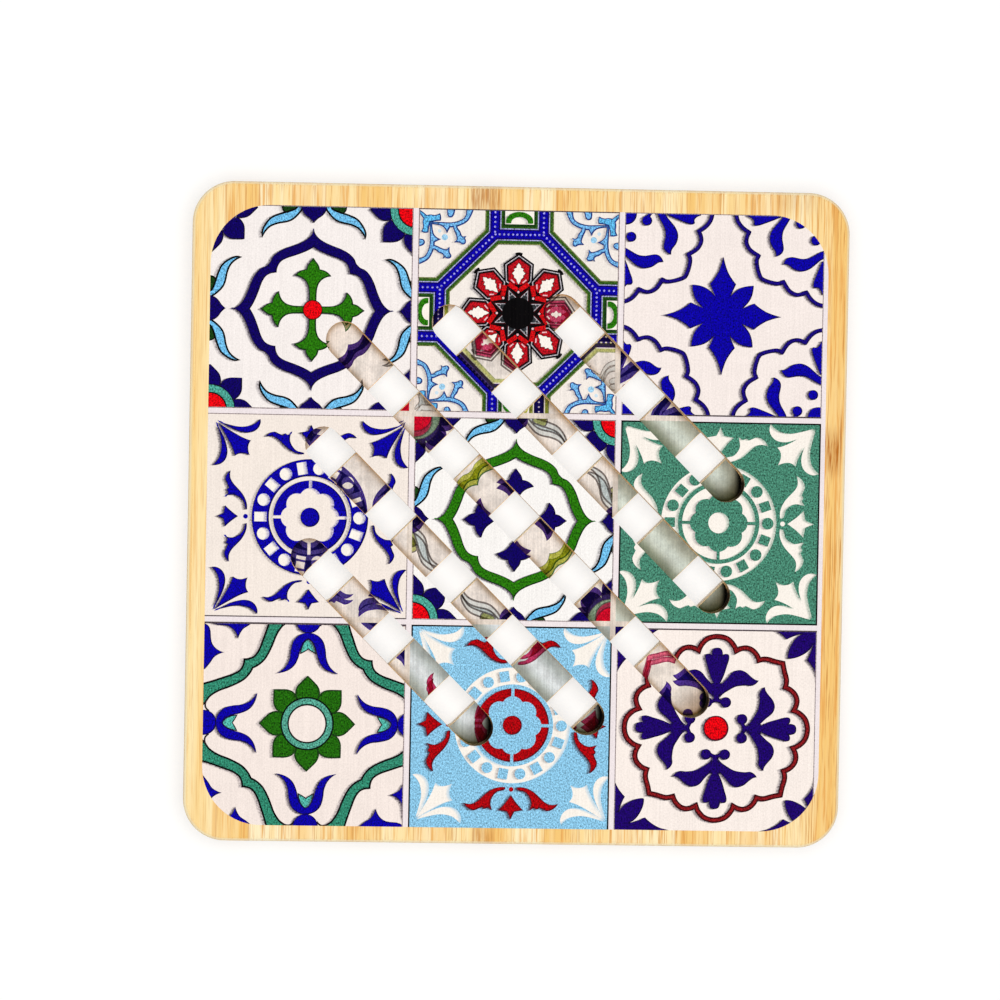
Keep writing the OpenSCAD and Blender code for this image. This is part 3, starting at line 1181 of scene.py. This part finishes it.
def drawRedStar(art, look):
    petal = whole([(0, 13.3, 1), (3.15, 11.1, 1), (2.95, 7.2, 1), (0, 4.8, 1)])
    cap = [(-0.75, 13.75), (-0.6, 13.15, 1), (0.6, 13.15, 1), (0.75, 13.75)]
    spark = whole([(0, 11.45, 1), (0.5, 10.8, 1), (0.45, 10.4, 1), (1.1, 10.1, 1), (0.9, 9.7, 1),
                   (1.5, 9.1, 1), (1.0, 8.6, 1), (1.05, 8.2, 1), (0.5, 7.75, 1), (0.4, 7.3, 1),
                   (0, 6.6, 1)])

    def around(shape):
        return [turned(shape, 45 * k) for k in range(8)]

    def starLoop(tip, notch):  # eight points, the tips halfway between the petals
        radii = np.array([notch, tip] * 8)
        angles = np.radians(90 - 22.5 * np.arange(16))
        return np.c_[radii * np.cos(angles), radii * np.sin(angles)]

    paint(art, "black", [turned(cap, t) for t in (0, 45, 135, 225, 315)], soft=0.5)
    outlines = around(curve(petal))
    for ink, inset in (("black", 0.32), ("grey", -0.08), ("black", -0.3), ("ringDark", -0.54),
                       ("petalRed", -0.76)):
        paint(art, ink, [grown(o, inset) for o in outlines], soft=0.7 if inset > 0 else 0)
    paint(art, "ringDark", around(grown(curve(spark), 0.14)))
    paint(art, "cream", around(curve(spark)))
    paint(art, "black", [starLoop(7.35, 6.5)])
    bar = stroke([(0.2, 5.3), (2.3, 6.7)], (1.02, 1.02))
    slash = stroke([(0.95, 6.95), (1.75, 7.65)], (0.28, 0.28))
    paint(art, "starRed", around(bar) + around(bar * leftForRight))
    paint(art, "black", around(curve(whole([(0, 6.7, 1), (0.45, 6.3, 1), (0, 5.6, 1)]))))
    paint(art, "blush", around(slash) + around(slash * leftForRight))
    star = look["starTip"]
    notch = star * math.cos(math.radians(67.5)) / math.cos(math.radians(45))  # every third tip is joined
    for ink, growth in (("ringDark", 0.3), ("grey", 0.06), ("starBlack", -0.1)):
        paint(art, ink, [grown(starLoop(star, notch), growth)])
    paint(art, "grey", around(disc(0.17, -1.45, 4.25, 6)) + around(disc(0.14, 1.45, 4.2, 6)))
    paint(art, "blush", around(disc(0.28, 0, 4.85, 9)))
    paint(art, "black", [disc(3.65)])


def drawScrolls(art):
    tuft = [(23.4, 23.4, 1), (22.35, 22.85), (21.2, 21.95, 1), (20.3, 22.1), (19.2, 22.0),
            (18.2, 22.45, 1), (17.9, 21.6), (18.0, 20.7, 1), (19.2, 20.6), (20.3, 20.3, 1)]
    tuft = curve(diagonal(tuft))
    stem = [(20.4, 20.35, 1), (17.8, 20.3), (15.8, 20.25), (14.3, 20.5), (13.0, 21.05), (12.25, 21.9),
            (12.1, 23.6, 1), (10.6, 23.6, 1), (11.2, 22.0), (12.0, 20.75), (13.2, 20.0), (14.6, 19.5),
            (15.9, 19.4, 1), (16.5, 18.2, 1), (17.1, 19.2), (18.0, 19.75), (20.4, 20.05, 1)]
    branch = [(15.0, 19.7, 1), (14.95, 19.0), (14.55, 18.1), (14.25, 17.3), (14.15, 16.5),
              (14.7, 15.95, 1), (13.9, 16.0), (13.4, 15.85), (12.8, 15.55), (12.35, 15.8), (12.35, 16.5),
              (12.65, 16.8, 1), (12.1, 17.35, 1), (12.8, 17.1), (13.3, 17.5), (13.6, 18.3), (14.2, 19.1),
              (14.2, 19.8, 1)]
    blob = [(16.35, 23.6, 1), (16.4, 22.4), (16.2, 21.8), (15.6, 21.65), (15.15, 22.1), (14.9, 23.0),
            (14.8, 23.6, 1)]
    half = [grown(curve(s), 0.15) for s in (stem, branch, blob)]
    shapes = half + [loop[:, ::-1] for loop in half]
    largeDot, smallDot = disc(0.72, 17.0, 17.0, 14), disc(0.42, 18.2, 18.4, 12)
    shift = np.array((-0.05, 0.04))
    for mirror in cornerSigns:
        paint(art, "scrollLine", [s * mirror for s in (*shapes, tuft)], soft=0.4)
        paint(art, "scrollBlue", [grown(s * mirror, -0.29) + shift for s in shapes])
        paint(art, "tuftBlue", [grown(tuft * mirror, -0.26) + shift])
        paint(art, "paleBlue", [largeDot * mirror])
        paint(art, "faintBlue", [smallDot * mirror])


# Blue star tile: a pointed star, wavy corner lines and crescent leaves
blueStarTile = {
    "node": "tile_print_top_right", "slot": "violet_blue_ink", "shift": (-0.22, -0.1),
    "heavy": {"below": 0.34}, "ground": (246, 234, 228), "border": ("borderGrey", 0.2),
    "lineWidth": 0.95,
}


def drawBlueStarTile(look):
    art = []
    star = [(0, 13.6, 1), (0.9, 10.5), (1.9, 8.7), (3.0, 7.3, 1), (1.75, 4.5, 1), (3.3, 6.0), (4.9, 6.75),
            (7.05, 7.05, 1)]
    wave = [(2.75, 24.0), (2.9, 22.4), (3.5, 21.1), (4.55, 20), (5.85, 19.2, 1), (5.3, 18.1), (5.2, 16.8),
            (5.9, 15.4), (7.0, 14.5), (8.15, 13.9, 1), (7.65, 12.9), (7.8, 11.3), (8.3, 9.6),
            (8.75, 8.75, 1)]
    line = stroke(diagonal(wave, closed=False), (look["lineWidth"],) * 2)
    leaf = [(15.6, 24, 1), (15.0, 22.2), (13.65, 19.7), (13.4, 18.0), (13.65, 16.6), (13.75, 15.4),
            (13.25, 14.4), (12.0, 13.75, 1), (11.9, 14.8), (10.85, 16.4), (10.5, 18.2), (11.1, 19.9),
            (12.3, 21.4), (13.2, 22.5), (13.7, 24, 1)]
    sideLeaf = [(12.9, 22.7, 1), (9.45, 21.3), (7.45, 20.7), (6.7, 21.1, 1), (6.7, 22.0), (5.35, 22.8, 1),
                (5.2, 24, 1), (13.2, 24, 1)]
    tail = stroke([(17.9, 22.0), (17.0, 22.9), (16.6, 24.0)], (1.0, 0.7, 0.6))
    shapes = [curve(s) for s in (leaf, sideLeaf)]
    corners = shapes + [s[:, ::-1] for s in shapes] + [disc(2.4, 22.45, 22.8), tail]
    corners += [disc(1.15, 17.65, 21.4, 20), disc(1.15, 21.2, 17.65, 20)]
    paintEdged(art, "ultramarine", [fromOctant(star)])
    for mirror in cornerSigns:
        paintEdged(art, "cobalt", [line * mirror])
        paintEdged(art, "ultramarine", [s * mirror for s in corners])
    return art


# Wheel tiles: a flower wheel with a ring of beads, fleurs and scrolls
wheelTiles = [
    {"node": "tile_print_middle_left", "slot": "cobalt_ink", "shift": (0.6, -0.25), "open": ("left",),
     "heavy": {"below": 0.26}, "ground": (244, 232, 222), "border": ("borderGrey", 0.2),
     "main": "ultramarine", "sides": "ultramarine", "hub": "ultramarine", "band": "ultramarine",
     "bead": "cream", "flower": "wheelCream", "shade": None,
     "hubRadius": 2.2, "disc": 1.42, "beadLength": 2.8, "spread": -0.1},
    {"node": "tile_print_middle_right", "slot": "sea_green_ink", "shift": (-0.15, 0.05),
     "ground": (70, 131, 109), "border": ("black", 0.35),
     "main": "cream", "sides": "cream", "hub": "cream", "band": "cream",
     "bead": "seaGreen", "flower": "seaGreen", "shade": ("seaGreen", 0.6),
     "hubRadius": 2.4, "disc": 1.35, "beadLength": 2.4, "spread": 0.2, "floorGround": (218, 228, 218),
     # painted shade on the slot floors along the walls and at the end, and a tint on the lower side
     "floorTints": {"edge": (206, 202, 194), "side": (196, 210, 196), "end": (150, 140, 118)}},
    {"node": "tile_print_bottom_centre", "slot": "sky_blue_ink", "shift": (0.5, 0.45), "open": ("below",),
     "ground": (138, 196, 227), "border": ("black", 0.35),
     "main": "cream", "sides": "crimson", "hub": "crimson", "band": "cream",
     "bead": "wheelBlue", "flower": "wheelBlue", "shade": ("wheelBlue", 0.6),
     "hubRadius": 2.2, "disc": 1.25, "beadLength": 2.4, "spread": 0.1, "floorGround": (230, 238, 242),
     # painted shade on the slot floors along the walls and at the end, and a tint on the lower side
     "floorTints": {"edge": (206, 211, 207), "side": (240, 236, 226), "end": (150, 142, 124)}},
]
wheelSizes = {"flowerCusp": 5.75, "flowerLobe": 6.65, "lobes": 8, "quarters": 8.4, "gap": 0.7,
              "bandInner": 9.35, "bandOuter": 13.25, "beadCircle": 11.25, "beads": 18, "beadWidth": 2.2}


def lobedFlower(tip, cusp, lobes):  # round lobes that meet in cusps
    half = math.pi / lobes
    middle = (tip ** 2 - cusp ** 2) / (2 * (tip - cusp * math.cos(half)))  # centre of a lobe's circle
    sweep = math.atan2(cusp * math.sin(half), cusp * math.cos(half) - middle)
    bend = np.linspace(-sweep, sweep, 10)[:-1]
    lobe = np.c_[(tip - middle) * np.sin(bend), middle + (tip - middle) * np.cos(bend)]
    return np.vstack([turned(lobe, -360 / lobes * k) for k in range(lobes)])


def drawWheelTile(look):
    art, size = [], wheelSizes
    spear = [(21.4, 21.4, 1), (19.3, 17.9), (18.0, 15.5), (17.3, 13.5, 1), (15.8, 14.2), (13.7, 13.7, 1)]
    crescent = [(21.4, 21.7, 1), (18.9, 20.95), (16.25, 20.45), (13.9, 20.75), (12.65, 21.4),
                (11.6, 22.4, 1), (11.5, 21.1), (12.25, 19.75), (13.6, 19.0), (15.45, 18.95),
                (17.95, 19.75)]
    fleur = [diagonal(spear), crescent, swapped(crescent)]

    def lay(ink, outlines, holes=(), soft=1.0):  # dark inks have a rim and a shadow, cream has neither
        if ink == "cream":
            paint(art, ink, outlines, holes, inner=look["shade"])
        else:
            paintEdged(art, ink, outlines, holes, soft)

    def layInside(ink, outlines):  # shapes left open in a band or a disc
        if look["shade"]:
            paint(art, ink, outlines, soft=0.5)
        else:
            paint(art, ink, outlines, inner=(look["band"], 0.6))

    def spread(outlines):  # the motifs print a little wider or narrower
        return [grown(curve(o), look["spread"]) for o in outlines]

    lay(look["main"], spread(fourWays(*fleur)))
    bud = whole([(0, 21.35, 1), (0.45, 20.3), (0.8, 19.7, 1), (2.65, 19.35, 1), (1.35, 18.0),
                 (0, 16.15, 1)])
    scroll = [(1.45, 14.25, 1), (3.15, 14.35), (5.0, 15.2), (6.4, 16.4), (7.6, 17.5), (8.9, 18.15),
              (10.6, 18.0, 1), (9.75, 18.95), (8.45, 19.45), (7.4, 19.05), (6.45, 18.65, 1), (5.95, 19.1),
              (5.3, 18.8), (4.35, 19.4, 1), (4.75, 17.6), (4.2, 16.2), (3.15, 15.15), (1.65, 14.75)]
    lay(look["sides"], spread(fourWays(bud) + eightWays(scroll)))
    paint(art, look["sides"], fourWays(disc(0.55, 0, 14.65, 12)))
    inner, outer = size["bandInner"], size["bandOuter"]
    lay(look["band"], [disc(outer, points=72)], [disc(inner, points=72)], 0.5)
    beads = loopsFrom(beadTree, bpy.data.meshes.new("emptyMesh"), {
        "Bead count": size["beads"], "Ring radius": size["beadCircle"] * mm,
        "Disc radius": look["disc"] * mm, "Square length": look["beadLength"] * mm,
        "Square width": size["beadWidth"] * mm})
    layInside(look["bead"], beads)
    lay(look["hub"], [disc(size["quarters"], points=72)], soft=0.35)
    petals = lobedFlower(size["flowerLobe"], size["flowerCusp"], size["lobes"])
    gap = square(size["gap"] / 2, 1.25) + np.array((0, 7.25))
    layInside(look["flower"], fourWays(gap) + [petals])
    lay(look["hub"], [disc(look["hubRadius"])], soft=0.4)
    return art


# Tulip tile: a green flower, teal waves and blue tulips
tulipTile = {
    "node": "tile_print_bottom_left", "slot": "teal_ink", "shift": (0.75, 0.15), "open": ("left", "below"),
    "heavy": {"above": 0.44}, "ground": (245, 231, 223), "border": ("borderGrey", 0.22),
}


def drawTulipTile(look):
    art = []
    outer = [(8.7, 24, 1), (9.5, 21.3), (10.3, 19), (11.1, 16.8), (12.0, 15.4), (13, 14.75),
             (14.5, 14.5, 1)]
    inner = [(3.8, 24, 1), (4.9, 23.0), (6.0, 22.2), (7.25, 20.3), (8.35, 17.5), (9.75, 14.8),
             (11.15, 13.4), (12.6, 12.6, 1)]
    wave = diagonal(outer, closed=False) + swapped(inner) + list(reversed(inner))[1:]
    paintLined(art, "deepTeal", "black", fourWays(wave), 0.42, 0.6)
    tail = stroke([(5.3, 22.75), (4.5, 23.15), (3.7, 23.2), (3.1, 22.9), (2.6, 22.3)], (0.4, 0.4))
    paint(art, "line", fourWays(tail, tail * leftForRight))
    tulip = whole([(0, 20.75), (2, 20.2), (3.35, 18.85), (3.95, 16.85), (4.2, 14.85), (5.1, 12.9),
                   (6.95, 11.4, 1), (4.65, 12.0), (3.1, 13.2), (2.25, 14.9), (1.8, 16.6), (1.55, 17.4),
                   (0.95, 18.55), (0, 19.2)])
    heart = whole([(0, 19.2), (0.8, 18.7), (1.4, 17.6), (1.75, 16.0, 1), (0.8, 16.5), (0, 17.05, 1)])
    paintLined(art, "heartTeal", "line", fourWays(heart), 0.25, 0.4)
    paintEdged(art, "ultramarine", fourWays(curve(tulip), disc(2.85, 0, 23.45)))
    floret = [(12.1, 23.4, 1), (13.6, 22.2), (15.0, 21.2), (16.0, 19.1, 1), (16.9, 21.0), (18.4, 22.0),
              (21.6, 22.5), (22.6, 24, 1), (12.0, 24, 1)]
    paintEdged(art, "ultramarine", eightWays(floret))
    petal = whole([(0, 10.75, 1), (1.15, 9.65), (2.2, 8.5), (2.65, 7.3), (2.5, 6.2), (2.0, 5.2, 1)])
    paintLined(art, "flowerGreen", "darkGreen", [turned(petal, 45 + 90 * k) for k in range(4)], 0.34, 0.6)
    paintLined(art, "flowerGreen", "darkGreen", fourWays(petal), 0.34, 0.6)
    for ink, radius in (("black", 6.1), ("ringTeal", 5.75), ("black", 4.5), (None, 4.15)):
        paint(art, ink, [disc(radius)])
    return art


# Palmette tile: a red scalloped ring, purple palmettes and corner leaves
palmetteTile = {
    "node": "tile_print_bottom_right", "slot": "plum_ink", "shift": (0.13, 0.4), "open": ("below",),
    "heavy": {"above": 0.34}, "ground": (249, 237, 229), "border": ("borderGrey", 0.2),
    "ringWidth": 1.25, "ringEdge": 0.34, "floorGround": (246, 239, 231),
}


def drawPalmetteTile(look):
    art = []
    scallop = [(0, 21.05), (2.2, 20.55), (3.6, 19.25), (4.3, 17.8, 1), (6.2, 18.5), (7.7, 18.2),
               (8.9, 17.15), (9.6, 15.75, 1), (11.3, 16.0), (13.4, 15.45), (15.1, 15.1, 1)]
    ring = curve(fromOctant(scallop))
    width, edge = look["ringWidth"], look["ringEdge"]
    paint(art, "ringDark", [grown(ring, width / 2)], [grown(ring, -width / 2)], soft=0.8)
    paint(art, "ringRed", [grown(ring, width / 2 - edge)], [grown(ring, edge - width / 2)])
    centre = whole([(0, 9.4, 1), (0.9, 10.6), (1.7, 12.4), (2.3, 14.4), (2.75, 16.0), (2.6, 16.9),
                    (1.9, 17.1), (1.25, 16.8, 1), (1.2, 17.6), (0.8, 18.3), (0, 18.5)])
    side = [(0.7, 6.9, 1), (1.4, 7.8), (2.65, 8.65), (4.4, 9.6), (6.7, 9.95), (8.3, 9.9), (9.65, 11.1, 1),
            (8.8, 11.3), (7.8, 12.0), (6.6, 13.0), (5.1, 13.45), (3.6, 12.9), (2.4, 11.5), (1.0, 10.1, 1)]
    neck = whole([(0, 6.05, 1), (0.8, 5.75), (1.5, 5.3, 1), (1.5, 6.6, 1), (0.9, 6.65), (0.66, 6.95),
                  (0.8, 7.7), (1.25, 8.8), (1.1, 10.4, 1)])
    ball = disc(1.22, 2.16, 5.98, 20)
    shapes = [curve(s) for s in (centre, side, flipped(side), neck)]
    shapes += [ball, ball * leftForRight]
    paintEdged(art, "violetBlue", fourWays(*shapes))
    leaf = [(16.2, 16.4, 1), (16.4, 18.0), (17.2, 19.8), (18.2, 21.1), (19.4, 21.9, 1), (19.4, 24, 1),
            (24, 24, 1)]
    wing = [(9.2, 24, 1), (10.7, 23.4), (12.6, 22.9), (14.4, 21.9), (15.9, 20.6, 1), (17.4, 21.3),
            (19.6, 21.95, 1), (20.0, 24, 1)]
    paintEdged(art, "violetBlue", fourWays(diagonal(leaf, closed=False), wing, swapped(wing)))
    paint(art, "black", [disc(2.9)], soft=0.8)
    paintEdged(art, "red", [disc(2.75)], soft=0.6)
    paint(art, "crimson", [disc(0.35, points=12)])
    return art


# Printing the nine tiles and the grout
groutLook = {
    "slot": "grout_ink", "ground": (240, 229, 230), "floorGround": (234, 224, 214),
    "printCorner": 13.4,  # radius of the whole print's corners
}


def printAll():
    printLow, printHigh = planOf("grout_print")
    radius = groutLook["printCorner"]
    tiles = [(crossTile, drawCrossTile), (starTile, drawCrossTile), (bandTile, drawBandTile),
             (blueStarTile, drawBlueStarTile), (tulipTile, drawTulipTile),
             (palmetteTile, drawPalmetteTile)]
    tiles += [(look, drawWheelTile) for look in wheelTiles]
    squares = []
    for look, draw in tiles:
        low, high = planOf(look["node"])
        outline = tileOutline(low, high, printLow, printHigh, radius)
        middle = (low + high) / 2
        squares.append(square(*tileHalf) + middle)
        art = draw(look)
        paintBorder(art, look, *look["border"])
        art = centred(centred(art, *look["shift"]), *middle)
        makePrint(look["node"], outline, [], art, look)
    outline = tileOutline(printLow, printHigh, printLow, printHigh, radius)
    makePrint("grout_print", outline, squares, [], groutLook)


printAll()
